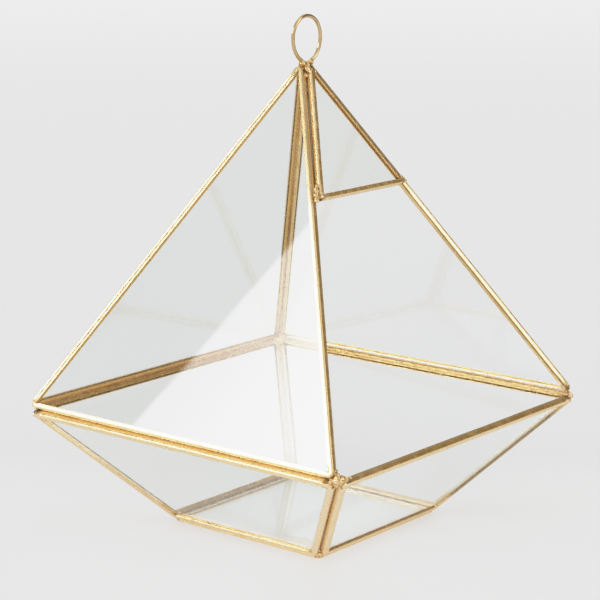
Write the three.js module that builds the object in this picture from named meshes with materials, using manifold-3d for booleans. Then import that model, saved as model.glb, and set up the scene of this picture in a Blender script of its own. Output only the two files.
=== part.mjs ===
// A standing glass terrarium, in millimetres, +Z up, origin at the centre of its footprint.
// Nine panes of glass, each edged all round with one folded brass channel, are soldered at their corners:
// a tapering bowl of four panes on a square base pane, and above its widest square, the belt, a four-sided
// pyramid. The -Y side of the pyramid is open but for a small pane under the apex, and a wire ring stands
// on the apex.

import * as THREE from "three";
import { mergeVertices } from "three/addons/utils/BufferGeometryUtils.js";
import Module from "manifold-3d";

const wasm = await Module();
wasm.setup();

// Overall shape, over the outer faces of the brass
const beltHalf = 100; // half the side of the widest square
const beltHeight = 60.4; // that square above the floor
const apexRise = 176; // the point where the three roof faces meet, above the belt
const baseHalf = 46.7; // half the side of the base frame
const smallPaneFrom = 0.63; // how far up the open side the small pane starts, as a share

// Brass channel and glass
const stripThickness = 3.5; // over both legs
const stripLeg = 2.5; // from the channel's back to the end of a leg
const sheet = 0.4; // the folded brass
const stripRound = 0.7; // radius of the fold between back and leg
const cornerRound = 1.6; // radius of the channel's bend round a pane's corner
const glassThickness = 2.1;
const glassPlay = 0.3; // between the pane's edge and the back of the channel
const gap = 0.25; // between two framed panes, and between solder and brass
const heel = 2.35; // how far a bowl pane's outer face stands outside the fold of the base frame

// Ring and solder
const ringOuter = 22.8;
const ringWire = 1.7;
const ringSink = 5.6; // from that meeting point down to the foot of the ring
const frontSolder = 3.6; // the lump at the front left belt corner
const beltSolder = 2.8; // at the other three
const baseSolder = 2.6;
const apexSolder = new THREE.Vector3(4.4, 4.4, 3.7);
const apexSolderSink = 7.8; // its centre below that meeting point
const leftHipSolder = new THREE.Vector3(2.6, 2.6, 4.4);
const rightHipSolder = new THREE.Vector3(1.7, 1.7, 2.4);

const brass = new THREE.MeshStandardMaterial({ color: 0xc9a14e, roughness: 0.28, metalness: 1 });
const solder = new THREE.MeshStandardMaterial({ color: 0xd2ad68, roughness: 0.38, metalness: 1 });
const glass = new THREE.MeshStandardMaterial({
  color: 0xe4eeea,
  roughness: 0.03,
  metalness: 0,
  transparent: true,
  opacity: 0.25,
});

const point = (x, y, z) => new THREE.Vector3(x, y, z);
const apex = point(0, 0, beltHeight + apexRise);

// ---- Solids from closed meshes, and back

function solidOf(geometry, matrix = new THREE.Matrix4()) {
  const bare = new THREE.BufferGeometry();
  const source = geometry.index ? geometry.toNonIndexed() : geometry;
  bare.setAttribute("position", source.getAttribute("position").clone());
  bare.applyMatrix4(matrix);
  const merged = mergeVertices(bare, 1e-4);
  return new wasm.Manifold(
    new wasm.Mesh({
      numProp: 3,
      vertProperties: merged.attributes.position.array,
      triVerts: new Uint32Array(merged.index.array),
    }),
  );
}

function geometryOf(solid) {
  const mesh = solid.getMesh();
  const geometry = new THREE.BufferGeometry();
  geometry.setAttribute("position", new THREE.BufferAttribute(mesh.vertProperties, 3));
  geometry.setIndex(new THREE.BufferAttribute(mesh.triVerts, 1));
  return geometry;
}

// ---- The frame of each face: where two outer faces meet, each framed pane stops short of their edge

const faceNormal = (corners) =>
  new THREE.Plane().setFromCoplanarPoints(corners[0], corners[1], corners[2]).normal;

// The rounded inner corners of the two channel backs meet, less the gap.
function setback(normalA, normalB) {
  const half = normalA.angleTo(normalB) / 2;
  const sharp = stripThickness * Math.tan(half);
  const savedByRound = stripRound * (Math.tan(half) + 1 - 1 / Math.cos(half));
  return sharp - savedByRound + gap / (2 * Math.cos(half));
}

// The bowl panes stand on the rounded outer top edge of the base frame, partly outside it.
const foldHalf = baseHalf - stripRound;
const foldHeight = stripThickness - stripRound;
const bowlReach = Math.hypot(beltHalf - foldHalf, beltHeight - foldHeight);
const bowlLean = Math.atan2(beltHeight - foldHeight, beltHalf - foldHalf) + Math.asin(heel / bowlReach);
const stand = stripRound + gap;
const bowlFootHalf = foldHalf + heel * Math.sin(bowlLean) + stand * Math.cos(bowlLean);
const bowlFootHeight = foldHeight - heel * Math.cos(bowlLean) + stand * Math.sin(bowlLean);

// Corners of one side face, seen from outside, before it is turned to its side.
const bowlFace = [
  point(-bowlFootHalf, -bowlFootHalf, bowlFootHeight),
  point(bowlFootHalf, -bowlFootHalf, bowlFootHeight),
  point(beltHalf, -beltHalf, beltHeight),
  point(-beltHalf, -beltHalf, beltHeight),
];
const roofFace = [point(-beltHalf, -beltHalf, beltHeight), point(beltHalf, -beltHalf, beltHeight), apex.clone()];
const smallFace = [
  roofFace[0].clone().lerp(apex, smallPaneFrom),
  roofFace[1].clone().lerp(apex, smallPaneFrom),
  apex.clone(),
];
const baseFace = [
  point(-baseHalf, baseHalf, 0),
  point(baseHalf, baseHalf, 0),
  point(baseHalf, -baseHalf, 0),
  point(-baseHalf, -baseHalf, 0),
];

const turned = (corners, quarter) =>
  corners.map((corner) => corner.clone().applyAxisAngle(point(0, 0, 1), (quarter * Math.PI) / 2));
const beltSetback = setback(faceNormal(bowlFace), faceNormal(roofFace));
const bowlSetback = setback(faceNormal(bowlFace), faceNormal(turned(bowlFace, 1)));
const hipSetback = setback(faceNormal(roofFace), faceNormal(turned(roofFace, 1)));

// Quarter turns about Z take the -Y side to the +X, +Y and -X sides.
const sides = ["front", "right", "back", "left"];
const panes = [{ name: "base", corners: baseFace, insets: [0, 0, 0, 0] }];
sides.forEach((side, quarter) => {
  panes.push({
    name: `bowl_${side}`,
    corners: turned(bowlFace, quarter),
    insets: [0, bowlSetback, beltSetback, bowlSetback],
  });
  panes.push(
    side === "front"
      ? { name: "small_front", corners: smallFace, insets: [0, hipSetback, hipSetback] }
      : { name: `roof_${side}`, corners: turned(roofFace, quarter), insets: [beltSetback, hipSetback, hipSetback] },
  );
});

// ---- Flat outlines

// The pane's own axes: X along its first edge, Z out of its outer face, origin at its first corner.
function paneMatrix(corners) {
  const along = corners[1].clone().sub(corners[0]).normalize();
  const out = faceNormal(corners);
  const up = out.clone().cross(along);
  return new THREE.Matrix4().makeBasis(along, up, out).setPosition(corners[0]);
}

// Moves each edge of a polygon inwards by its own distance and returns the new corners.
function insetOutline(outline, insets) {
  const lines = outline.map((start, i) => {
    const direction = outline[(i + 1) % outline.length].clone().sub(start).normalize();
    const inward = new THREE.Vector2(-direction.y, direction.x);
    return { start: start.clone().addScaledVector(inward, insets[i]), direction };
  });
  return lines.map((line, i) => {
    const before = lines[(i + lines.length - 1) % lines.length];
    const across = before.direction.cross(line.direction);
    const reach = line.start.clone().sub(before.start).cross(line.direction) / across;
    return before.start.clone().addScaledVector(before.direction, reach);
  });
}

const insetEvenly = (outline, inset) => insetOutline(outline, outline.map(() => inset));

function roundedShape(outline, radius) {
  const shape = new THREE.Shape();
  outline.forEach((corner, i) => {
    const before = outline[(i + outline.length - 1) % outline.length].clone().sub(corner).normalize();
    const after = outline[(i + 1) % outline.length].clone().sub(corner).normalize();
    const halfAngle = Math.acos(before.dot(after)) / 2;
    const reach = radius / Math.tan(halfAngle);
    const from = corner.clone().addScaledVector(before, reach);
    const to = corner.clone().addScaledVector(after, reach);
    if (i === 0) shape.moveTo(from.x, from.y);
    else shape.lineTo(from.x, from.y);
    if (radius > 0) shape.quadraticCurveTo(corner.x, corner.y, to.x, to.y);
  });
  shape.closePath();
  return shape;
}

// A plate whose outer face is at z = top.
function plate(outline, radius, top, thickness, edgeRound = 0) {
  const geometry = new THREE.ExtrudeGeometry(roundedShape(outline, radius), {
    depth: thickness - 2 * edgeRound,
    curveSegments: 5,
    bevelEnabled: edgeRound > 0,
    bevelThickness: edgeRound,
    bevelSize: edgeRound,
    bevelOffset: -edgeRound,
    bevelSegments: 2,
  });
  return geometry.translate(0, 0, top - thickness + edgeRound);
}

// ---- One framed pane: a channel all round, and the glass in it

function channelGeometry(outline) {
  const slotThickness = stripThickness - 2 * sheet;
  const block = solidOf(plate(outline, cornerRound, 0, stripThickness, stripRound));
  const window = solidOf(plate(insetEvenly(outline, stripLeg), 0, 1, stripThickness + 2));
  const slot = solidOf(plate(insetEvenly(outline, sheet), cornerRound - sheet, -sheet, slotThickness));
  return geometryOf(block.subtract(window).subtract(slot));
}

function glassGeometry(outline) {
  const inset = sheet + glassPlay;
  const top = -(stripThickness - glassThickness) / 2;
  return plate(insetEvenly(outline, inset), cornerRound - inset, top, glassThickness);
}

const terrarium = new THREE.Group();
const keepClear = []; // each framed pane with the gap round it, to cut the solder back from

for (const pane of panes) {
  const matrix = paneMatrix(pane.corners);
  const toPane = matrix.clone().invert();
  const face = pane.corners.map((corner) => {
    const flat = corner.clone().applyMatrix4(toPane);
    return new THREE.Vector2(flat.x, flat.y);
  });
  const outline = insetOutline(face, pane.insets);

  const group = new THREE.Group();
  matrix.decompose(group.position, group.quaternion, group.scale);
  const frame = new THREE.Mesh(channelGeometry(outline), brass);
  frame.name = `${pane.name}_frame`;
  const sheetGlass = new THREE.Mesh(glassGeometry(outline), glass);
  sheetGlass.name = `${pane.name}_glass`;
  group.add(frame, sheetGlass);
  terrarium.add(group);

  const grown = plate(insetEvenly(outline, -gap), cornerRound + gap, gap, stripThickness + 2 * gap);
  keepClear.push(solidOf(grown, matrix));
}

// ---- The ring, in the plane of the open side

const ringCentre = apex.clone().setZ(apex.z + ringOuter / 2 - ringSink);
function ringGeometry(wireRadius) {
  const ring = new THREE.TorusGeometry((ringOuter - ringWire) / 2, wireRadius, 10, 56);
  return ring.rotateX(Math.PI / 2).translate(ringCentre.x, ringCentre.y, ringCentre.z);
}
const ring = new THREE.Mesh(ringGeometry(ringWire / 2), brass);
ring.name = "hanging_ring";
terrarium.add(ring);
keepClear.push(solidOf(ringGeometry(ringWire / 2 + gap)));

// ---- Solder joints: a lump at each meeting of corners, cut back from everything it holds

function addSolder(name, centre, radii) {
  const lump = new THREE.SphereGeometry(1, 14, 10).scale(radii.x, radii.y, radii.z);
  let solid = solidOf(lump.translate(centre.x, centre.y, centre.z));
  const floor = new THREE.BoxGeometry(400, 400, 40).translate(0, 0, -20 + gap);
  for (const taken of [...keepClear, solidOf(floor)]) solid = solid.subtract(taken);
  const outerPiece = solid.decompose().reduce((best, piece) => (piece.volume() > best.volume() ? piece : best));
  const mesh = new THREE.Mesh(geometryOf(outerPiece), solder);
  mesh.name = name;
  terrarium.add(mesh);
}

const even = (radius) => point(radius, radius, radius);
const cornerNames = ["front_left", "front_right", "back_right", "back_left"];
cornerNames.forEach((corner, quarter) => {
  const radius = quarter === 0 ? frontSolder : beltSolder;
  const half = beltHalf - (quarter === 0 ? frontSolder : 2 * beltSolder); // the others sit deeper in the notch
  const [beltCorner] = turned([point(-half, -half, beltHeight)], quarter);
  addSolder(`belt_solder_${corner}`, beltCorner, even(radius));
  const [footCorner] = turned([bowlFace[0]], quarter);
  addSolder(`base_solder_${corner}`, footCorner.multiply(point(0.975, 0.975, 1.1)), even(baseSolder));
});
addSolder("apex_solder", apex.clone().setZ(apex.z - apexSolderSink), apexSolder);
addSolder("hip_solder_left", smallFace[0].clone().add(point(1.6, 1.6, 2)), leftHipSolder);
addSolder("hip_solder_right", smallFace[1].clone().add(point(-3.3, 3.1, 0.6)), rightHipSolder);

export default terrarium;
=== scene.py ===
import math

import bmesh
import bpy
from mathutils import Matrix, Vector, noise


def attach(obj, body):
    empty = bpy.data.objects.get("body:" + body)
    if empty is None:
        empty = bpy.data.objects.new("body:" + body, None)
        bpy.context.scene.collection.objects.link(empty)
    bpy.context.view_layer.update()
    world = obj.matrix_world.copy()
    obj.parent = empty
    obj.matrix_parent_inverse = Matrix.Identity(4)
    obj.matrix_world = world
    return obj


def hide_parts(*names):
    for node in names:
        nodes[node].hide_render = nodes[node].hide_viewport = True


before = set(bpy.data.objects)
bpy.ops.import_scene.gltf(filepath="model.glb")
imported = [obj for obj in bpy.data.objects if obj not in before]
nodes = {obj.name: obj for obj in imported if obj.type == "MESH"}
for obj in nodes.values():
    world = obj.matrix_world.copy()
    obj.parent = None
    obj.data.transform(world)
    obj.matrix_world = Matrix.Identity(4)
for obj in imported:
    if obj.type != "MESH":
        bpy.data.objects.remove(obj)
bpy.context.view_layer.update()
mm = 0.001

# The terrarium's main sizes, in millimetres, as in the part's source
terrarium = {
    "beltHalf": 100,  # half the side of the widest square
    "beltHeight": 60.4,
    "apexRise": 176,  # where the roof faces meet, above the belt
    "baseHalf": 46.7,
    "smallPaneFrom": 0.63,  # how far up the open side the small pane starts
    "heel": 2.35,  # how far a bowl pane stands outside the fold of the base strip
}


# Small helpers for node trees


class Socket:
    # one output of a node; a sign between two of them adds a Math node
    def __init__(self, graph, socket):
        self.graph, self.socket = graph, socket

    def sign(self, operation, first, second):
        isVector = any(isinstance(x, Socket) and x.socket.type in ("VECTOR", "RGBA") for x in (first, second))
        kind = "ShaderNodeVectorMath" if isVector else "ShaderNodeMath"
        return self.graph.node(kind, {"operation": operation}, {0: first, 1: second})

    def __add__(self, other):
        return self.sign("ADD", self, other)

    def __radd__(self, other):
        return self.sign("ADD", other, self)

    def __sub__(self, other):
        return self.sign("SUBTRACT", self, other)

    def __rsub__(self, other):
        return self.sign("SUBTRACT", other, self)

    def __mul__(self, other):
        return self.sign("MULTIPLY", self, other)

    def __rmul__(self, other):
        return self.sign("MULTIPLY", other, self)

    def __truediv__(self, other):
        return self.sign("DIVIDE", self, other)

    def __rtruediv__(self, other):
        return self.sign("DIVIDE", other, self)

    # each of these two is the other's reflected form
    def __gt__(self, other):
        return self.sign("GREATER_THAN", self, other)

    def __lt__(self, other):
        return self.sign("LESS_THAN", self, other)


class Graph:
    def __init__(self, tree):
        self.tree = tree
        tree.nodes.clear()

    def find(self, sockets, key):
        usable = [s for s in sockets if s.enabled]
        return usable[key] if isinstance(key, int) else next(s for s in usable if s.name == key)

    def feed(self, socket, value):
        if isinstance(value, Socket):
            self.tree.links.new(value.socket, socket)
        elif socket.type == "VECTOR" and isinstance(value, (int, float)):
            socket.default_value = (value, value, value)
        elif socket.type == "RGBA":
            socket.default_value = (*value, 1)
        else:
            socket.default_value = value

    # a node of any kind: its settings first, then what its sockets hold or are joined to
    def node(self, kind, settings=None, sockets=None, output=0):
        made = self.tree.nodes.new(kind)
        for name, value in (settings or {}).items():
            if name == "choices":
                while len(made.index_switch_items) < value:
                    made.index_switch_items.new()
            else:
                setattr(made, name, value)
        for name, value in (sockets or {}).items():
            self.feed(self.find(made.inputs, name), value)
        return Socket(self, self.find(made.outputs, output))

    def vector(self, operation, *values, output=0):
        return self.node("ShaderNodeVectorMath", {"operation": operation}, dict(enumerate(values)), output)

    def number(self, operation, *values):
        return self.node("ShaderNodeMath", {"operation": operation}, dict(enumerate(values)))

    def largest(self, first, *others):
        for other in others:
            first = self.number("MAXIMUM", first, other)
        return first

    def axis(self, vector, letter):
        return self.node("ShaderNodeSeparateXYZ", None, {0: vector}, letter)

    def joined(self, **parts):
        return self.node("ShaderNodeCombineXYZ", None, parts)

    def ramped(self, value, low, high, toLow=0, toHigh=1, smooth=True):
        settings = {"interpolation_type": "SMOOTHSTEP" if smooth else "LINEAR"}
        spans = {"Value": value, "From Min": low, "From Max": high, "To Min": toLow, "To Max": toHigh}
        return self.node("ShaderNodeMapRange", settings, spans)

    def mixed(self, factor, first, second):
        sockets = {"Factor": factor, "A": first, "B": second}
        return self.node("ShaderNodeMix", {"data_type": "RGBA"}, sockets)

    def noise(self, where, scale, detail=2, output="Fac"):
        sockets = {"Vector": where, "Scale": scale, "Detail": detail}
        return self.node("ShaderNodeTexNoise", None, sockets, output)


class Finish(Graph):
    # a new material, with the nodes that all finishes use
    def __init__(self, name):
        self.material = bpy.data.materials.new(name)
        self.material.use_nodes = True
        super().__init__(self.material.node_tree)
        self.where = self.node("ShaderNodeTexCoord", output="Object")

    def attribute(self, name, output="Fac"):
        return self.node("ShaderNodeAttribute", {"attribute_name": name}, output=output)

    def bump(self, strength, depth, height, under=None):
        sockets = {"Strength": strength, "Distance": depth, "Height": height}
        if under:
            sockets["Normal"] = under
        return self.node("ShaderNodeBump", None, sockets)

    def principled(self, sockets):
        return self.node("ShaderNodeBsdfPrincipled", None, sockets)

    def show(self, shader):
        out = self.tree.nodes.new("ShaderNodeOutputMaterial")
        self.tree.links.new(shader.socket, out.inputs["Surface"])
        return self.material


class Geometry(Graph):
    # a geometry tree with named inputs, one of them its material "Finish", and one geometry out
    def __init__(self, name, inputs):
        tree = bpy.data.node_groups.new(name, "GeometryNodeTree")
        super().__init__(tree)
        for label, kind in inputs.items():
            tree.interface.new_socket(label, in_out="INPUT", socket_type="NodeSocket" + kind)
        tree.interface.new_socket("Result", in_out="OUTPUT", socket_type="NodeSocketGeometry")
        self.entry = tree.nodes.new("NodeGroupInput")

    def given(self, label):
        return Socket(self, self.entry.outputs[label])

    def keep(self, geometry, name, value, kind="FLOAT"):
        settings = {"data_type": kind, "domain": "POINT"}
        sockets = {"Geometry": geometry, "Name": name, "Value": value}
        return self.node("GeometryNodeStoreNamedAttribute", settings, sockets)

    def kept(self, name, kind="FLOAT"):
        return self.node("GeometryNodeInputNamedAttribute", {"data_type": kind}, {"Name": name})

    def finish(self, geometry):
        geometry = self.node("GeometryNodeSetShadeSmooth", None, {"Geometry": geometry})
        real = self.node("GeometryNodeRealizeInstances", None, {"Geometry": geometry})
        sockets = {"Geometry": real, "Material": self.given("Finish")}
        dressed = self.node("GeometryNodeSetMaterial", None, sockets)
        out = self.tree.nodes.new("NodeGroupOutput")
        self.tree.links.new(dressed.socket, out.inputs[0])


# Small helpers for pieces


def newObject(name, data):
    made = bpy.data.objects.new(name, data)
    bpy.context.scene.collection.objects.link(made)
    return made


# Turns what a piece's modifiers make into its plain mesh.
def workIn(piece):
    bpy.context.view_layer.update()
    seen = piece.evaluated_get(bpy.context.evaluated_depsgraph_get())
    mesh = bpy.data.meshes.new_from_object(seen)
    piece.modifiers.clear()
    piece.data = mesh
    return mesh


# Runs a geometry tree on a mesh and returns its result as a plain piece.
def grow(name, startMesh, graph, values):
    piece = newObject(name, startMesh)
    modifier = piece.modifiers.new("grow", "NODES")
    modifier.node_group = graph.tree
    for socket in graph.tree.interface.items_tree:
        if socket.in_out == "INPUT" and socket.name in values:
            modifier[socket.identifier] = values[socket.name]
    grown = workIn(piece)
    grown.name = name
    faceOut(grown)
    return piece


def faceOut(mesh):
    bm = bmesh.new()
    bm.from_mesh(mesh)
    bmesh.ops.recalc_face_normals(bm, faces=bm.faces)
    if bm.calc_volume(signed=True) < 0:
        bmesh.ops.reverse_faces(bm, faces=bm.faces)
    bm.to_mesh(mesh)
    bm.free()


def place(piece, slot, *replaced):
    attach(piece, "root")
    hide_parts(*replaced)


# Finishes. A Size is a noise's scale per metre, a Span the values between which it comes up, a Share how much
# of it shows at most, and a Depth is in metres.

brassLook = {
    "bright": (0.94, 0.71, 0.40),
    "aged": (0.80, 0.55, 0.24),
    "patchSize": 60, "patchSpan": (0.42, 0.68), "patchShare": 0.35,  # patches of tarnish
    "speckSize": 1400, "speckSpan": (0.6, 0.75), "speckShare": 0.1,
    "glancing": (0.95, 0.81, 0.61),  # where it is seen at a low angle
    "glancingSpan": (0.45, 0.64), "glancingShare": 0.85,
    "edge": (0.95, 0.84, 0.66),  # the tint of its mirror image at the lowest angles
    "inside": (0.80, 0.53, 0.21),  # painted shade: a deeper gold on the legs that face into the terrarium
    "innerlight": (0.98, 0.91, 0.76),  # painted light: paler where those legs lie in the light
    # the colour of the painted shade, in the strips' seams and hollows and on the wire
    "shaded": (0.21, 0.125, 0.04),
    "shadeDulls": 0.6,  # how much less of a metal it is under the painted shade
    "edgeShadeSpan": (0.35, 0.75), "edgeShadeShare": 0.7,  # painted shade along the drawn wire's outline
    "roughness": (0.2, 0.34),
    "smearSize": 240, "smearSpan": (0.35, 0.7),
    "polish": 0.75,  # how much smoother the drawn wire is than the folded strip
    "rub": 0.05, "rubSize": (60, 5200, 1), "rubDepth": 0.00004,  # polishing marks along the strip
    "dent": 0.08, "dentSize": 190, "dentDepth": 0.0006,
}


def makeBrass(name, look):
    finish = Finish(name)
    patches = finish.noise(finish.where, look["patchSize"], 4)
    specks = finish.noise(finish.where, look["speckSize"], 3)
    aged = (finish.ramped(patches, *look["patchSpan"]) * look["patchShare"]
            + finish.ramped(specks, *look["speckSpan"]) * look["speckShare"])
    colour = finish.mixed(aged, look["bright"], look["aged"])
    facing = finish.node("ShaderNodeLayerWeight", None, {"Blend": 0.5}, "Facing")
    low = finish.ramped(facing, *look["glancingSpan"]) * look["glancingShare"]
    colour = finish.mixed(low, colour, look["glancing"])
    # painted shade on the legs inside above 0, painted light below 0
    within = finish.attribute("within")  # above 0 on the legs inside, below 0 where they are pale
    colour = finish.mixed(within, colour, look["inside"])
    colour = finish.mixed(0 - within, colour, look["innerlight"])
    # painted shade: the brass is darkened in colour where shade and dark reflections fall, in the seams, on
    # the cut edges and on the wire
    seam = finish.attribute("seam")
    polished = finish.attribute("polished")
    # painted shade: the drawn wire darkens towards its outline, where it is seen side on
    edgeShade = finish.ramped(facing, *look["edgeShadeSpan"]) * polished * look["edgeShadeShare"]
    colour = finish.mixed(finish.largest(seam, edgeShade), colour, look["shaded"])
    bare = 1 - seam * (1 - polished) * look["shadeDulls"]

    smears = finish.noise(finish.where, look["smearSize"], 4)
    smeared = finish.ramped(smears, *look["smearSpan"], *look["roughness"])
    roughness = smeared * (1 - polished * look["polish"])
    along = finish.attribute("stripMap", "Vector")
    rubbed = finish.bump(look["rub"], look["rubDepth"], finish.noise(along * look["rubSize"], 1, 3))
    dents = finish.noise(finish.where, look["dentSize"], 2)
    normal = finish.bump(look["dent"], look["dentDepth"], dents, rubbed)
    return finish.show(finish.principled({
        "Base Color": colour, "Metallic": bare, "Roughness": roughness, "Normal": normal,
        "Specular Tint": look["edge"],
    }))


solderLook = {
    "bright": (0.90, 0.66, 0.36),
    "aged": (0.45, 0.27, 0.10),
    "blotchSize": 420, "blotchSpan": (0.42, 0.66),
    "roughness": (0.1, 0.3),
    "smearSize": 900, "smearSpan": (0.35, 0.7),
    "ripple": 0.2, "rippleSize": 520, "rippleDepth": 0.0005,
}


def makeSolder(name, look):
    finish = Finish(name)
    blotches = finish.ramped(finish.noise(finish.where, look["blotchSize"], 4), *look["blotchSpan"])
    smears = finish.noise(finish.where, look["smearSize"], 3)
    ripples = finish.noise(finish.where, look["rippleSize"], 2)
    return finish.show(finish.principled({
        "Base Color": finish.mixed(blotches, look["bright"], look["aged"]),
        "Metallic": 1,
        "Roughness": finish.ramped(smears, *look["smearSpan"], *look["roughness"]),
        "Normal": finish.bump(look["ripple"], look["rippleDepth"], ripples),
    }))


glassLook = {
    "tint": (0.974, 0.99, 0.982),
    "letThrough": (0.995, 0.998, 0.996),  # the light each side of a pane lets past
    "ior": 1.46,
    "ripple": 0.02, "rippleSize": 14, "rippleDepth": 0.001,
}


def makeGlass(name, look):
    finish = Finish(name)
    ripples = finish.noise(finish.where, look["rippleSize"], 1)
    pane = finish.principled({
        "Base Color": look["tint"], "Transmission Weight": 1, "Roughness": 0.0, "IOR": look["ior"],
        "Normal": finish.bump(look["ripple"], look["rippleDepth"], ripples),
    })
    clear = finish.node("ShaderNodeBsdfTransparent", None, {"Color": look["letThrough"]})
    isShadow = finish.node("ShaderNodeLightPath", output="Is Shadow Ray")  # so light reaches behind a pane
    return finish.show(finish.node("ShaderNodeMixShader", None, {0: isShadow, 1: pane, 2: clear}))


brass = makeBrass("brassFinish", brassLook)
solder = makeSolder("solderFinish", solderLook)
glass = makeGlass("glassFinish", glassLook)
print("finishes ready")


# The folded strips round the panes, in millimetres

strip = {
    "width": 3.5,  # over both legs
    "leg": 2.5,  # the outer leg, from the back to its cut edge
    "innerLeg": 2.5,
    "sheet": 0.64,
    "fold": 0.4,  # radius between the back and the inner leg, where two strips meet
    "shoulder": 0.9,  # radius between the back and the outer leg
    "foldSteps": 5,
    "corner": 2.3,  # radius of the bend round a pane's corner
    "cornerSteps": 8,
    "lip": 0.15,  # rounding of a leg's cut edge
    "crown": 0.08,  # how far the back bulges
    "lean": 0,  # how far the legs' cut edges lean towards the glass
    "between": 0.08,  # left between two strips along a seam
    "waver": 0.22, "waverSize": 26,  # how far the hand-bent strip strays, and how many times per metre
    "press": 0.04, "pressSize": 140,  # the same for the depth of its section, as a share of it
    "cuts": 47,  # steps between two corners
    "seedStep": 3.7,  # from one strip's strays to the next one's
    "smallPaneInsets": (0.7, -0.03),  # how much further in its two slanting sides lie, right and left
    "shaded": 0.14,  # the share of the back in painted shade, next to a seam
    "sideshade": 0,  # painted shade beside the small pane and on the right
    "inside": 1,  # how much the painted shade deepens the gold of the legs inside
    "innerlight": 0,  # how much painted light makes the leg inside pale along the belt
}

# Where one strip differs from the others
stripChanges = {
    "base": {"inside": 0.2, "innerlight": 0.9},
    "bowl_front": {"leg": 3.1, "sideshade": 0.7},
    "bowl_right": {"leg": 3.1, "inside": 0.5},
    "bowl_back": {"leg": 3.1},
    "bowl_left": {"leg": 3.1, "shaded": 0.13},
    "roof_right": {"sideshade": 1, "inside": 0.3, "innerlight": 0.9},
    "roof_left": {"innerLeg": 1.5, "lean": -0.1, "shaded": 0.09, "sideshade": 0.6},
}

# Where the painted shade, and the painted shade and light on the legs inside, start and end. What is called
# from, past or high is a place on the terrarium in metres, and the rest are shares of the strip's own sizes;
# down the width they go from 0 to -1.
paintedSpans = {
    "backDepth": (0.3, 0.9),  # in folds
    "shadeFades": 0.05, "shadeAtMost": 0.95,
    "cornerFrom": (0.186, 0.193),  # the place along x and along y, added
    "cornerPast": -0.1,  # not at the far left corner
    "cornerReach": 0.5,
    "smallPaneHigh": (0.166, 0.176), "smallPaneReach": 0.5, "smallPaneLeg": 0.85,
    "outsideAbove": -0.4,  # in sheets
    "lipDepth": (1.2, 0.3), "lipShare": 0.35,  # in lips, back from the leg's end
    "outerHalf": -0.5,
    "slantHigh": ((0.006, 0.01), (0.052, 0.056)),  # the bowl's slanting edges
    "slantPale": 0.9,
    "rightPast": 0.04, "rightAbove": -0.4,
    "foldDepth": (1.1, 1.9), "foldBelow": -0.88, "foldPast": 0.05, "foldShare": 0.4,
    "innerBelow": (-0.5, -0.62), "innerDepth": (0.5, 1),  # in folds
    "paleHigh": (0.065, 0.07),
}


def faceNormal(corners):
    return (corners[1] - corners[0]).cross(corners[2] - corners[0]).normalized()


def turned(corners, quarter):
    return [Matrix.Rotation(quarter * math.pi / 2, 3, "Z") @ c for c in corners]


# How far a strip stops short of the edge where two outer faces meet.
def setback(normalA, normalB):
    half = normalA.angle(normalB) / 2
    saved = strip["fold"] * (math.tan(half) + 1 - 1 / math.cos(half))
    return strip["width"] * math.tan(half) - saved + strip["between"] / (2 * math.cos(half))


def insetCorners(corners, insets):
    out = faceNormal(corners)
    lines = []
    for i, start in enumerate(corners):
        way = (corners[(i + 1) % len(corners)] - start).normalized()
        lines.append((start + out.cross(way) * insets[i], way))
    moved = []
    for i, (start, way) in enumerate(lines):
        startBefore, wayBefore = lines[i - 1]
        reach = (start - startBefore).cross(way).dot(out) / wayBefore.cross(way).dot(out)
        moved.append(startBefore + wayBefore * reach)
    return moved


# The corners of one face of each kind, as seen from the open side, before any strip is set back.
def layOutFaces():
    beltHalf, beltHeight = terrarium["beltHalf"], terrarium["beltHeight"]
    baseHalf, heel = terrarium["baseHalf"], terrarium["heel"]
    foldHalf, foldHeight = baseHalf - strip["fold"], strip["width"] - strip["fold"]
    reach = math.hypot(beltHalf - foldHalf, beltHeight - foldHeight)
    lean = math.atan2(beltHeight - foldHeight, beltHalf - foldHalf) + math.asin(heel / reach)
    stand = strip["fold"] + strip["between"]
    footHalf = foldHalf + heel * math.sin(lean) + stand * math.cos(lean)
    footHeight = foldHeight - heel * math.cos(lean) + stand * math.sin(lean)
    foot = [Vector((side * footHalf, -footHalf, footHeight)) for side in (-1, 1)]
    belt = [Vector((side * beltHalf, -beltHalf, beltHeight)) for side in (-1, 1)]
    apex = Vector((0, 0, beltHeight + terrarium["apexRise"]))
    return {
        "base": [Vector((x * baseHalf, y * baseHalf, 0)) for x, y in ((-1, 1), (1, 1), (1, -1), (-1, -1))],
        "bowl": [*foot, *reversed(belt)],
        "roof": [*belt, apex],
        "small": [corner.lerp(apex, terrarium["smallPaneFrom"]) for corner in belt] + [apex],
    }


def layOutPanes(faces):
    bowl, roof = faces["bowl"], faces["roof"]
    atBelt = setback(faceNormal(bowl), faceNormal(roof))
    atBowlEdge = setback(faceNormal(bowl), faceNormal(turned(bowl, 1)))
    atHip = setback(faceNormal(roof), faceNormal(turned(roof, 1)))
    panes = {"base": insetCorners(faces["base"], [0, 0, 0, 0])}
    for quarter, side in enumerate(("front", "right", "back", "left")):
        panes["bowl_" + side] = insetCorners(turned(bowl, quarter), [0, atBowlEdge, atBelt, atBowlEdge])
        if side == "front":  # the open side
            hips = [atHip + more for more in strip["smallPaneInsets"]]
            panes["small_front"] = insetCorners(faces["small"], [0, *hips])
        else:
            panes["roof_" + side] = insetCorners(turned(roof, quarter), [atBelt, atHip, atHip])
    return panes


faces = layOutFaces()
panes = layOutPanes(faces)


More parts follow.
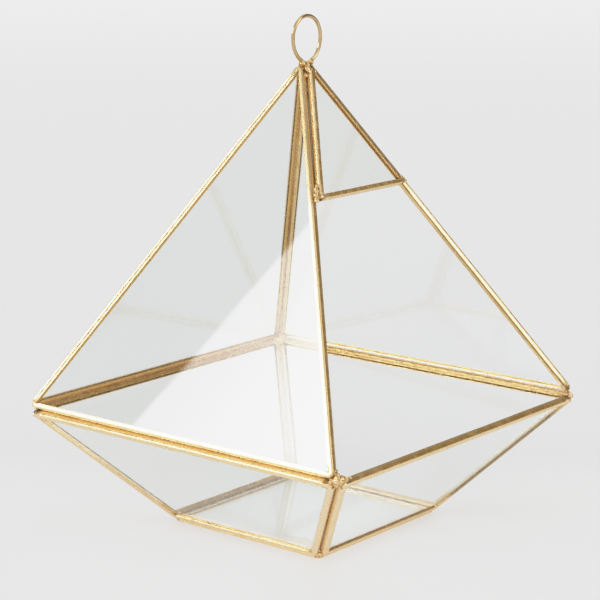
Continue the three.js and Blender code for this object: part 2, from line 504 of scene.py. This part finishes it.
# The pane's outline, rounded at its corners. Each point keeps "mitre", the way in which the legs meet at the
# nearest corners, "heart", the middle of the bend there, "station", its own place, and "run", how far along
# the outline it is.
def roundedPath(g):
    here = g.node("GeometryNodeInputPosition")

    def neighbour(step):
        index = g.node("GeometryNodeOffsetPointInCurve", None, {"Offset": step}, "Point Index")
        settings = {"data_type": "FLOAT_VECTOR", "domain": "POINT"}
        there = g.node("GeometryNodeFieldAtIndex", settings, {"Value": here, "Index": index})
        return g.vector("NORMALIZE", there - here)

    onward = neighbour(1)
    middle = g.vector("NORMALIZE", neighbour(-1) + onward)
    sine = g.vector("LENGTH", g.vector("CROSS_PRODUCT", middle, onward), output="Value")
    mitre = middle / sine
    corner = g.given("Corner")
    path = g.node("GeometryNodeMeshToCurve", None, {"Mesh": g.given("Outline")})
    path = g.keep(path, "mitre", mitre, "FLOAT_VECTOR")
    path = g.keep(path, "heart", here + mitre * corner, "FLOAT_VECTOR")
    path = g.node("GeometryNodeSubdivideCurve", None, {"Curve": path, "Cuts": g.given("Cuts")})
    path = g.node("GeometryNodeFilletCurve", {"mode": "POLY"},
                  {"Curve": path, "Count": strip["cornerSteps"], "Radius": corner})
    path = g.keep(path, "station", g.node("GeometryNodeInputPosition"), "FLOAT_VECTOR")
    return g.keep(path, "run", g.node("GeometryNodeSplineParameter", output="Length"))


# The channel's section: x is the depth from its back, y the height from its outer face. Its points keep both,
# "grip", which is 1 at the outer leg's end and -1 at the inner one's, and "girth", how far round they are.
def channelSection(g):
    width, sheet, fold, shoulder, lip = (g.given(x) for x in ("Width", "Sheet", "Fold", "Shoulder", "Lip"))
    leg, innerLeg = g.given("Leg"), g.given("Inner Leg")
    inner = sheet - width
    spots = [(leg, 0), (0, 0), (0, 0 - width), (innerLeg, 0 - width),
             (innerLeg, inner), (sheet, inner), (sheet, 0 - sheet), (leg, 0 - sheet)]
    bends = [lip, shoulder, fold, lip, lip, sheet / 8, shoulder - sheet, lip]
    index = g.node("GeometryNodeInputIndex")

    def choose(kind, values):
        settings = {"data_type": kind, "choices": len(values)}
        choices = {str(i): value for i, value in enumerate(values)}
        return g.node("GeometryNodeIndexSwitch", settings, {"Index": index, **choices})

    spotAt = choose("VECTOR", [g.joined(X=x, Y=y) for x, y in spots])
    section = g.node("GeometryNodeCurvePrimitiveCircle", {"mode": "RADIUS"}, {"Resolution": len(spots)})
    section = g.node("GeometryNodeSetPosition", None, {"Geometry": section, "Position": spotAt})
    section = g.node("GeometryNodeFilletCurve", {"mode": "POLY"},
                     {"Curve": section, "Count": strip["foldSteps"], "Radius": choose("FLOAT", bends)})
    section = g.node("GeometryNodeSubdivideCurve", None, {"Curve": section, "Cuts": 1})
    here = g.node("GeometryNodeInputPosition")
    depth, height = g.axis(here, "X"), g.axis(here, "Y")
    across = height * 2 / width + 1  # 1 at the outer face, -1 at the inner one
    bulge = g.given("Crown") * (1 - across * across) * g.ramped(depth, 0, fold, 1, 0, smooth=False)
    section = g.keep(section, "depth", depth - bulge)
    section = g.keep(section, "height", height)
    section = g.keep(section, "grip", (depth / leg) * g.number("SIGN", across))
    return g.keep(section, "girth", g.node("GeometryNodeSplineParameter", output="Length"))


# Puts each point of the swept channel in its place: the legs meet in a mitre at each corner, and the back
# bends round it.
def bendRound(g, swept, station):
    corner = g.given("Corner")
    heart, mitre = g.kept("heart", "FLOAT_VECTOR"), g.kept("mitre", "FLOAT_VECTOR")
    own = station + g.given("Seed")
    strayed = g.noise(own, strip["waverSize"], 2, "Color") - 0.5
    pressed = g.noise(own, strip["pressSize"], 1) - 0.5
    depth = g.kept("depth") * (1 + pressed * strip["press"])
    turn = g.number("MAXIMUM", 1 - depth / corner, 0)
    beyond = g.number("MAXIMUM", depth - corner, 0)
    lean = g.given("Lean") * g.kept("grip")
    put = (heart + (station - heart) * turn + mitre * beyond + g.given("Outward") * (g.kept("height") - lean)
           + strayed * g.given("Waver"))
    return g.node("GeometryNodeSetPosition", None, {"Geometry": swept, "Position": put})


# How much painted shade each point has, from 0 to 1: in the seams, more near the soldered corners, on the cut
# edges, beside the small pane, on the right and on the inner folds.
def dirtOn(g, station, slanting):
    width, fold, lip, leg = (g.given(x) for x in ("Width", "Fold", "Lip", "Leg"))
    depth, height, sideshade = g.kept("depth"), g.kept("height"), g.given("Sideshade")
    right, behind, up = (g.axis(station, letter) for letter in "XYZ")
    fromMiddle = g.number("ABSOLUTE", right) + g.number("ABSOLUTE", behind)
    nearCorner = g.ramped(fromMiddle, *paintedSpans["cornerFrom"]) * (right + behind > paintedSpans["cornerPast"])
    besideSmall = g.ramped(up, *paintedSpans["smallPaneHigh"]) * (behind < 0) * sideshade
    share = g.given("Shaded") + nearCorner * paintedSpans["cornerReach"] + besideSmall * paintedSpans["smallPaneReach"]
    reach = g.number("MINIMUM", share, paintedSpans["shadeAtMost"]) - 1
    backFrom, backTo = paintedSpans["backDepth"]
    atBack = g.ramped(depth, backFrom * fold, backTo * fold, 1, 0)
    inSeam = atBack * g.ramped(height / width, reach, reach - paintedSpans["shadeFades"])
    lipFrom, lipTo = paintedSpans["lipDepth"]
    outside = height > paintedSpans["outsideAbove"] * g.given("Sheet")
    onLip = g.ramped(depth, leg - lipFrom * lip, leg - lipTo * lip) * outside * paintedSpans["lipShare"]
    onLeg = besideSmall * (height > paintedSpans["outerHalf"] * width) * paintedSpans["smallPaneLeg"]
    onRight = slanting * (right > paintedSpans["rightPast"]) * (height > paintedSpans["rightAbove"] * width) * sideshade
    foldFrom, foldTo = paintedSpans["foldDepth"]
    onFold = g.ramped(depth, foldFrom * fold, foldTo * fold, 1, 0) * (height / width < paintedSpans["foldBelow"])
    onFold = onFold * (right > paintedSpans["foldPast"]) * paintedSpans["foldShare"]
    return g.largest(inSeam, onLip, onLeg, onRight, onFold)


# How much painted shade deepens the gold of each point of a leg inside, or how much painted light makes it
# pale where this is below 0.
def toneWithin(g, station, slanting):
    fold = g.given("Fold")
    depthFrom, depthTo = paintedSpans["innerDepth"]
    onInner = (g.ramped(g.kept("height") / g.given("Width"), *paintedSpans["innerBelow"])
               * g.ramped(g.kept("depth"), depthFrom * fold, depthTo * fold))
    nearBelt = g.ramped(g.axis(station, "Z"), *paintedSpans["paleHigh"], 1, 0)
    innerlight = g.largest(slanting * paintedSpans["slantPale"], nearBelt * g.given("Innerlight"))
    return onInner * (g.given("Inside") * (1 - innerlight) - innerlight)


# Sweeps a folded channel round an outline.
def stripTree():
    lengths = ("Width", "Leg", "Inner Leg", "Sheet", "Fold", "Shoulder", "Corner", "Lip", "Crown", "Lean",
               "Waver")
    others = ("Shaded", "Sideshade", "Inside", "Innerlight", "Seed")
    g = Geometry("foldedStrip", {
        "Outline": "Geometry", "Outward": "Vector", "Cuts": "Int", "Finish": "Material",
        **{label: "Float" for label in lengths + others},
    })
    sockets = {"Curve": roundedPath(g), "Profile Curve": channelSection(g)}
    swept = g.node("GeometryNodeCurveToMesh", None, sockets)
    station = g.kept("station", "FLOAT_VECTOR")
    swept = bendRound(g, swept, station)
    swept = g.node("GeometryNodeMergeByDistance", None, {"Geometry": swept, "Distance": 0.002 * mm})
    up = g.axis(station, "Z")
    low, high = paintedSpans["slantHigh"]
    slanting = g.ramped(up, *high, 1, 0) * g.ramped(up, *low)
    # painted shade and painted light, kept for the brass finish
    swept = g.keep(swept, "seam", dirtOn(g, station, slanting))
    swept = g.keep(swept, "within", toneWithin(g, station, slanting))
    flat = g.joined(X=g.kept("run"), Y=g.kept("girth"))
    swept = g.keep(swept, "stripMap", flat, "FLOAT_VECTOR")
    for name in ("station", "heart", "mitre", "run", "depth", "height", "girth", "grip"):
        swept = g.node("GeometryNodeRemoveAttribute", None, {"Geometry": swept, "Name": name})
    g.finish(swept)
    return g


def outlineMesh(name, corners):
    mesh = bpy.data.meshes.new(name)
    points = [c * mm for c in corners]
    mesh.from_pydata(points, [(i, (i + 1) % len(points)) for i in range(len(points))], [])
    return mesh


def stripValues(name, corners, order):
    own = {**strip, **stripChanges.get(name, {})}
    values = {label: own[label.lower()] * mm for label in (
        "Width", "Leg", "Sheet", "Fold", "Shoulder", "Corner", "Lip", "Crown", "Lean", "Waver")}
    values["Inner Leg"] = own["innerLeg"] * mm
    for label in ("Shaded", "Sideshade", "Inside", "Innerlight"):
        values[label] = float(own[label.lower()])
    values["Outward"] = faceNormal(corners)
    values["Cuts"] = own["cuts"]
    values["Seed"] = own["seedStep"] * order
    values["Finish"] = brass
    return values


def makeStrips():
    tree = stripTree()
    for order, (name, corners) in enumerate(panes.items()):
        piece = grow(name + "_strip", outlineMesh(name, corners), tree, stripValues(name, corners, order))
        place(piece, "brass", name + "_frame")


def glazePanes():
    for name in panes:
        pane = nodes[name + "_glass"]
        pane.data.materials.clear()
        pane.data.materials.append(glass)


makeStrips()
print("strips bent round the panes")
glazePanes()
print("panes glazed")


# The wire ring, in millimetres

ring = {
    "outer": 22.8,
    "wire": 1.85,
    "centre": 242.2,  # above the floor
    "opening": 38,  # degrees left between the wire's ends, down in the solder
    "drop": 1.12,  # how much longer than a circle the lower half is
    "aside": 1.1,  # towards +X, as it was soldered in by eye
    "stray": 0.6, "straySize": 60,  # how far the bent wire strays, and how many times per metre
    "steps": 96,
    "sides": 20,
    # painted shade over the whole wire
    "dirt": 0.4,
}


def ringTree():
    g = Geometry("bentWire", {"Radius": "Float", "Wire": "Float", "Centre": "Float", "Opening": "Float",
                              "Drop": "Float", "Aside": "Float", "Stray": "Float", "Dirt": "Float",
                              "Steps": "Int", "Sides": "Int", "Finish": "Material"})
    opening = g.given("Opening")
    path = g.node("GeometryNodeCurveArc", {"mode": "RADIUS"}, {
        "Resolution": g.given("Steps"), "Radius": g.given("Radius"),
        "Start Angle": opening / 2 - math.pi / 2, "Sweep Angle": 2 * math.pi - opening,
    })
    here = g.node("GeometryNodeInputPosition")
    stray = (g.noise(here, ring["straySize"], 1, "Color") - 0.5) * g.given("Stray")
    low = g.number("MINIMUM", g.axis(here, "Y"), 0)
    sag = g.joined(Y=low * (g.given("Drop") - 1))
    path = g.node("GeometryNodeSetPosition", None, {"Geometry": path, "Offset": stray + sag})
    section = g.node("GeometryNodeCurvePrimitiveCircle", {"mode": "RADIUS"},
                     {"Resolution": g.given("Sides"), "Radius": g.given("Wire") / 2})
    sockets = {"Curve": path, "Profile Curve": section, "Fill Caps": True}
    wire = g.node("GeometryNodeCurveToMesh", None, sockets)
    spot = g.joined(X=g.given("Aside"), Z=g.given("Centre"))
    wire = g.node("GeometryNodeTransform", None,
                  {"Geometry": wire, "Translation": spot, "Rotation": (math.pi / 2, 0, 0)})
    # the whole wire carries painted shade
    g.finish(g.keep(g.keep(wire, "polished", 1.0), "seam", g.given("Dirt")))
    return g


def makeRing():
    values = {label: ring[label.lower()] * mm for label in ("Wire", "Centre", "Aside", "Stray")}
    values["Radius"] = (ring["outer"] - ring["wire"]) / 2 * mm
    values["Opening"] = math.radians(ring["opening"])
    for label in ("Drop", "Dirt", "Steps", "Sides"):
        values[label] = ring[label.lower()]
    values["Finish"] = brass
    piece = grow("ring_wire", bpy.data.meshes.new("ring"), ringTree(), values)
    place(piece, "brass", "hanging_ring")


makeRing()
print("ring bent")


# Solder, in millimetres

solderSizes = {
    "voxel": 0.22,
    "ballCuts": 3,
    "smoothing": 7, "smoothShare": 0.5,
    "dents": ((2.6, 0.6), (1.1, 0.28)),  # how far apart they are, and how deep
}


# Drops of solder run together, as a rough mesh.
def meltedDrops(name, drops):
    bm = bmesh.new()
    for centre, radius in drops:
        bmesh.ops.create_icosphere(bm, subdivisions=solderSizes["ballCuts"], radius=radius * mm,
                                   matrix=Matrix.Translation(centre * mm))
    mesh = bpy.data.meshes.new(name)
    bm.to_mesh(mesh)
    bm.free()
    lump = newObject(name, mesh)
    melt = lump.modifiers.new("melt", "REMESH")
    melt.mode, melt.voxel_size = "VOXEL", solderSizes["voxel"] * mm
    return lump, workIn(lump)


# The drops settle into one lump, with dimples where it cooled unevenly.
def settle(mesh, seed):
    bm = bmesh.new()
    bm.from_mesh(mesh)
    for _ in range(solderSizes["smoothing"]):
        bmesh.ops.smooth_vert(bm, verts=bm.verts, factor=solderSizes["smoothShare"],
                              use_axis_x=True, use_axis_y=True, use_axis_z=True)
    drift = Vector((seed, 2 * seed, -seed))
    for size, depth in solderSizes["dents"]:
        bm.normal_update()
        for v in bm.verts:
            v.co += v.normal * noise.noise(v.co / (size * mm) + drift) * depth * mm
    bm.to_mesh(mesh)
    bm.free()
    faceOut(mesh)
    for polygon in mesh.polygons:
        polygon.use_smooth = True


def solderLump(name, drops, seed, *replaced):
    lump, mesh = meltedDrops(name, drops)
    settle(mesh, seed)
    mesh.materials.append(solder)
    place(lump, "solder", *replaced)


# Each joint's drops: offsets from its corner along x, y and z, as at the front left corner, and a radius
beltDrops = {
    "front_left": [(3.4, 3.2, 0.2, 2.4), (2.3, 4.2, 1.2, 1.2), (1.9, 6.0, 0.2, 1.3), (5.2, 2.5, 0.9, 1.8),
                   (7.6, 1.9, 0.7, 1.4), (10.2, 1.6, 0.8, 0.9), (3.1, 2.7, -2.2, 1.5), (3.2, 3.5, 3.0, 1.2),
                   (3.4, 4.3, 5.0, 0.8)],
    "front_right": [(5.6, 5.6, 0, 2.2), (4.0, 4.4, -0.6, 1.5), (7.5, 4.6, 0.6, 1.2), (6.0, 8.2, 0.4, 1.5)],
    "back_right": [(5.0, 5.0, 0, 2.4), (3.6, 5.6, 0.6, 1.5), (6.6, 3.8, 0.4, 1.4), (5.6, 5.6, -2.6, 1.5)],
    "back_left": [(6.4, 6.4, 0, 2.2), (8.4, 5.6, 0.4, 1.3), (5.8, 8.6, 0.4, 1.3)],
}
baseDrops = [(2.2, 2.2, 0.6, 1.5), (3.9, 2.2, 0.7, 1.1), (2.2, 3.9, 0.7, 1.1)]
apexDrops = [(0, 0, -8.2, 3.0), (-2.9, -0.6, -6.4, 1.9), (2.9, -0.4, -6.6, 1.8), (-1.6, -2.6, -9.2, 1.6),
             (2.0, -2.4, -9.0, 1.5), (0.4, -3.4, -11.2, 1.0), (0, 2.6, -8.6, 1.9), (-4.4, -3.8, -12.0, 1.0)]
hipDrops = {
    "left": [(0.9, 0.9, -0.2, 1.3), (1.6, 1.5, 1.9, 1.7), (2.6, 2.2, 4.4, 1.4), (3.2, 2.4, 6.2, 0.9)],
    "right": [(-2.2, 2.1, 0.2, 1.0), (-3.0, 2.9, 1.2, 1.2), (-3.6, 3.4, 2.4, 0.9)],
}
solderSeeds = {"belt": 1, "base": 6, "apex": 11, "hip": 12}  # the first of each kind's; the others follow it


def dropsAt(corner, drops, turn=Matrix.Identity(3)):
    return [(corner + turn @ Vector(offset), radius) for *offset, radius in drops]


def runSolder():
    for quarter, (corner, drops) in enumerate(beltDrops.items()):
        turn = Matrix.Rotation(quarter * math.pi / 2, 3, "Z")
        joints = {"belt": (faces["roof"][0], drops), "base": (faces["bowl"][0], baseDrops)}
        for kind, (start, own) in joints.items():
            solderLump(f"{kind}_joint_{corner}", dropsAt(turn @ start, own, turn), solderSeeds[kind] + quarter,
                       f"{kind}_solder_{corner}")
    solderLump("apex_joint", dropsAt(faces["roof"][2], apexDrops), solderSeeds["apex"], "apex_solder")
    for i, (side, drops) in enumerate(hipDrops.items()):
        solderLump("hip_joint_" + side, dropsAt(faces["small"][i], drops), solderSeeds["hip"] + i,
                   "hip_solder_" + side)


runSolder()
print("solder run")


# The room: light and floor, in metres

studio = {
    "level": (0.84, 0.84, 0.84),  # what the brass and glass mirror, near the horizon
    "overhead": (0.78, 0.78, 0.78), "overheadFrom": 1.2,  # this many radians up
    # degrees: centre round from +X and its half width, centre up and its half height, and the soft edge
    "unlit": (0.25, 0.20, 0.12), "unlitPart": (-22, 34, 20, 28, 12),  # the dark part of the room
    "shade": (0.3, 0.3, 0.3), "shadePart": (121, 12, 32, 11, 3),  # beside the side softbox
    "softboxes": {  # the same, then the light
        "side": (139.7, 8.3, 29, 11, 0.12, 4.5),
        "sideHeart": (140, 6, 29, 10, 3, 7.0),
        "front": (-66, 12, 24, 14, 3, 2.4),
        "ceiling": (80, 24, 62, 12, 3, 0.9),
    },
    "fill": 1.13, "fillShare": 0.65,  # even light on the matt floor
    "backdrop": 0.985,  # what the camera sees past the floor
    "floorRadius": 3.6, "floorSides": 96,
    "floorFadesFrom": 1.6,
    "floorColour": (0.38, 0.38, 0.38),
    "floorRoughness": 0.42, "floorShine": 0.25,
    "floorGlow": (0.385, 0.44),  # painted light: the floor glows with a share of its light, without shadows, beyond the object and before it
    "floorGlowSpan": (-0.12, -0.02),
    "towardsCamera": (-0.775, -0.631, 0),
    "pool": (-0.04, -0.03, 0),  # the middle of a painted pool of light, where the floor is brightest
    "poolRadius": 0.17,
    "poolGlow": 0.10,
}


# 1 inside a window of directions, 0 outside.
def windowOf(graph, way, height, around, halfAround, up, halfUp, soft):
    around, halfAround, up, halfUp, soft = (math.radians(x) for x in (around, halfAround, up, halfUp, soft))
    ahead = graph.vector("DOT_PRODUCT", way, (math.cos(around), math.sin(around), 0), output="Value")
    aside = graph.vector("DOT_PRODUCT", way, (-math.sin(around), math.cos(around), 0), output="Value")
    offAround = graph.number("ABSOLUTE", graph.number("ARCTAN2", aside, ahead))
    offUp = graph.number("ABSOLUTE", height - up)
    return (graph.ramped(offAround, halfAround - soft, halfAround + soft, 1, 0)
            * graph.ramped(offUp, halfUp - soft, halfUp + soft, 1, 0))


def makeWorld():
    world = bpy.data.worlds.new("studio")
    world.use_nodes = True
    bpy.context.scene.world = world
    graph = Graph(world.node_tree)
    way = graph.vector("NORMALIZE", graph.node("ShaderNodeTexCoord", output="Generated"))
    height = graph.number("ARCSINE", graph.axis(way, "Z"))
    light = graph.mixed(graph.ramped(height, 0, studio["overheadFrom"]), studio["level"], studio["overhead"])
    light = graph.mixed(windowOf(graph, way, height, *studio["unlitPart"]), light, studio["unlit"])
    light = graph.mixed(windowOf(graph, way, height, *studio["shadePart"]), light, studio["shade"])
    for *span, strength in studio["softboxes"].values():
        light = light + windowOf(graph, way, height, *span) * strength
    path = graph.tree.nodes.new("ShaderNodeLightPath")
    glossy, diffuse = (Socket(graph, path.outputs[x]) for x in ("Glossy Depth", "Diffuse Depth"))
    share = studio["fillShare"]
    light = graph.mixed(diffuse > 0.5, light, light * (1 - share) + studio["fill"] * share)
    seen = graph.mixed(glossy + diffuse < 0.5, light, (studio["backdrop"],) * 3)
    shade = graph.node("ShaderNodeBackground", None, {"Color": seen, "Strength": 1.0})
    out = graph.tree.nodes.new("ShaderNodeOutputWorld")
    graph.tree.links.new(shade.socket, out.inputs["Surface"])


def floorFinish():
    finish = Finish("floorFinish")
    ahead = finish.vector("DOT_PRODUCT", finish.where, studio["towardsCamera"], output="Value")
    # painted light: the floor glows though it is no lamp, more before the object than beyond it and most in a
    # pool near it, which softens its shadows
    beyond, before = ((x,) * 3 for x in studio["floorGlow"])
    glow = finish.mixed(finish.ramped(ahead, *studio["floorGlowSpan"]), beyond, before)
    offPool = finish.vector("LENGTH", finish.where - studio["pool"], output="Value")
    glow = glow + finish.ramped(offPool, 0, studio["poolRadius"], studio["poolGlow"], 0)
    matt = finish.principled({
        "Base Color": studio["floorColour"], "Roughness": studio["floorRoughness"],
        "Specular IOR Level": studio["floorShine"], "Emission Color": glow, "Emission Strength": 1.0,
    })
    clear = finish.node("ShaderNodeBsdfTransparent")
    fromMiddle = finish.vector("LENGTH", finish.where, output="Value")
    far = finish.ramped(fromMiddle, studio["floorFadesFrom"], studio["floorRadius"])
    return finish.show(finish.node("ShaderNodeMixShader", None, {0: far, 1: matt, 2: clear}))


def makeFloor():
    bm = bmesh.new()
    bmesh.ops.create_circle(bm, cap_ends=True, segments=studio["floorSides"], radius=studio["floorRadius"])
    mesh = bpy.data.meshes.new("floor")
    bm.to_mesh(mesh)
    bm.free()
    mesh.materials.append(floorFinish())
    newObject("floor", mesh)


makeWorld()
makeFloor()
print("studio lit")


# The camera, fitted to the photograph; lengths in millimetres

view = {
    "azimuth": -50.843, "elevation": 12.338,
    "aim": (0, 0, 61.2),
    "distance": 1045.11,
    "right": -2.610, "up": 50.087,  # how far it is moved across, without turning
    "lens": 125.015, "sensor": 36,
    "clip": (10, 50000),
}


def makeCamera():
    camera = bpy.data.cameras.new("camera")
    camera.lens, camera.sensor_width = view["lens"], view["sensor"]
    camera.clip_start, camera.clip_end = (x * mm for x in view["clip"])
    eye = newObject("camera", camera)
    bpy.context.scene.camera = eye
    azimuth, elevation = math.radians(view["azimuth"]), math.radians(view["elevation"])
    level = math.cos(elevation)
    back = Vector((math.sin(azimuth) * level, -math.cos(azimuth) * level, math.sin(elevation)))
    right = (-back).cross(Vector((0, 0, 1))).normalized()
    up = back.cross(right)
    spot = Vector(view["aim"]) + back * view["distance"] + right * view["right"] + up * view["up"]
    eye.matrix_world = Matrix.Translation(spot * mm) @ Matrix((right, up, back)).transposed().to_4x4()


film = {
    "shoulder": 0.70,  # light above this is rolled off, so that nothing turns flat white
    "whitest": 12,
    "darkSteps": 5, "lightSteps": 14,
    "bounces": 16, "glossyBounces": 8, "clearBounces": 24,
}


# The film's curve, one for all three colours: straight in the darks, then ever flatter towards white.
def rollOff(settings):
    shoulder, whitest = film["shoulder"], film["whitest"]
    room = 1 - shoulder

    def flattened(light):
        return 1 - room * room / (light + room - shoulder)

    settings.view_transform = "Standard"
    settings.use_curve_mapping = True
    curves = settings.curve_mapping
    curves.use_clip = False
    curves.white_level = (whitest,) * 3
    curve = curves.curves[3]  # the one for all three
    curve.points[-1].location = (1, flattened(whitest))
    for step in range(1, film["darkSteps"] + 1):
        light = shoulder * (step / film["darkSteps"])
        curve.points.new(light / whitest, light)
    for step in range(1, film["lightSteps"]):
        light = shoulder * (whitest / shoulder) ** (step / film["lightSteps"])
        curve.points.new(light / whitest, flattened(light))
    for point in curve.points:
        point.handle_type = "VECTOR"
    curves.update()


def setBounces(cycles):
    cycles.max_bounces = film["bounces"]
    cycles.transmission_bounces = film["bounces"]
    cycles.glossy_bounces = film["glossyBounces"]
    cycles.transparent_max_bounces = film["clearBounces"]


makeCamera()
rollOff(bpy.context.scene.view_settings)
setBounces(bpy.context.scene.cycles)
print("camera set")
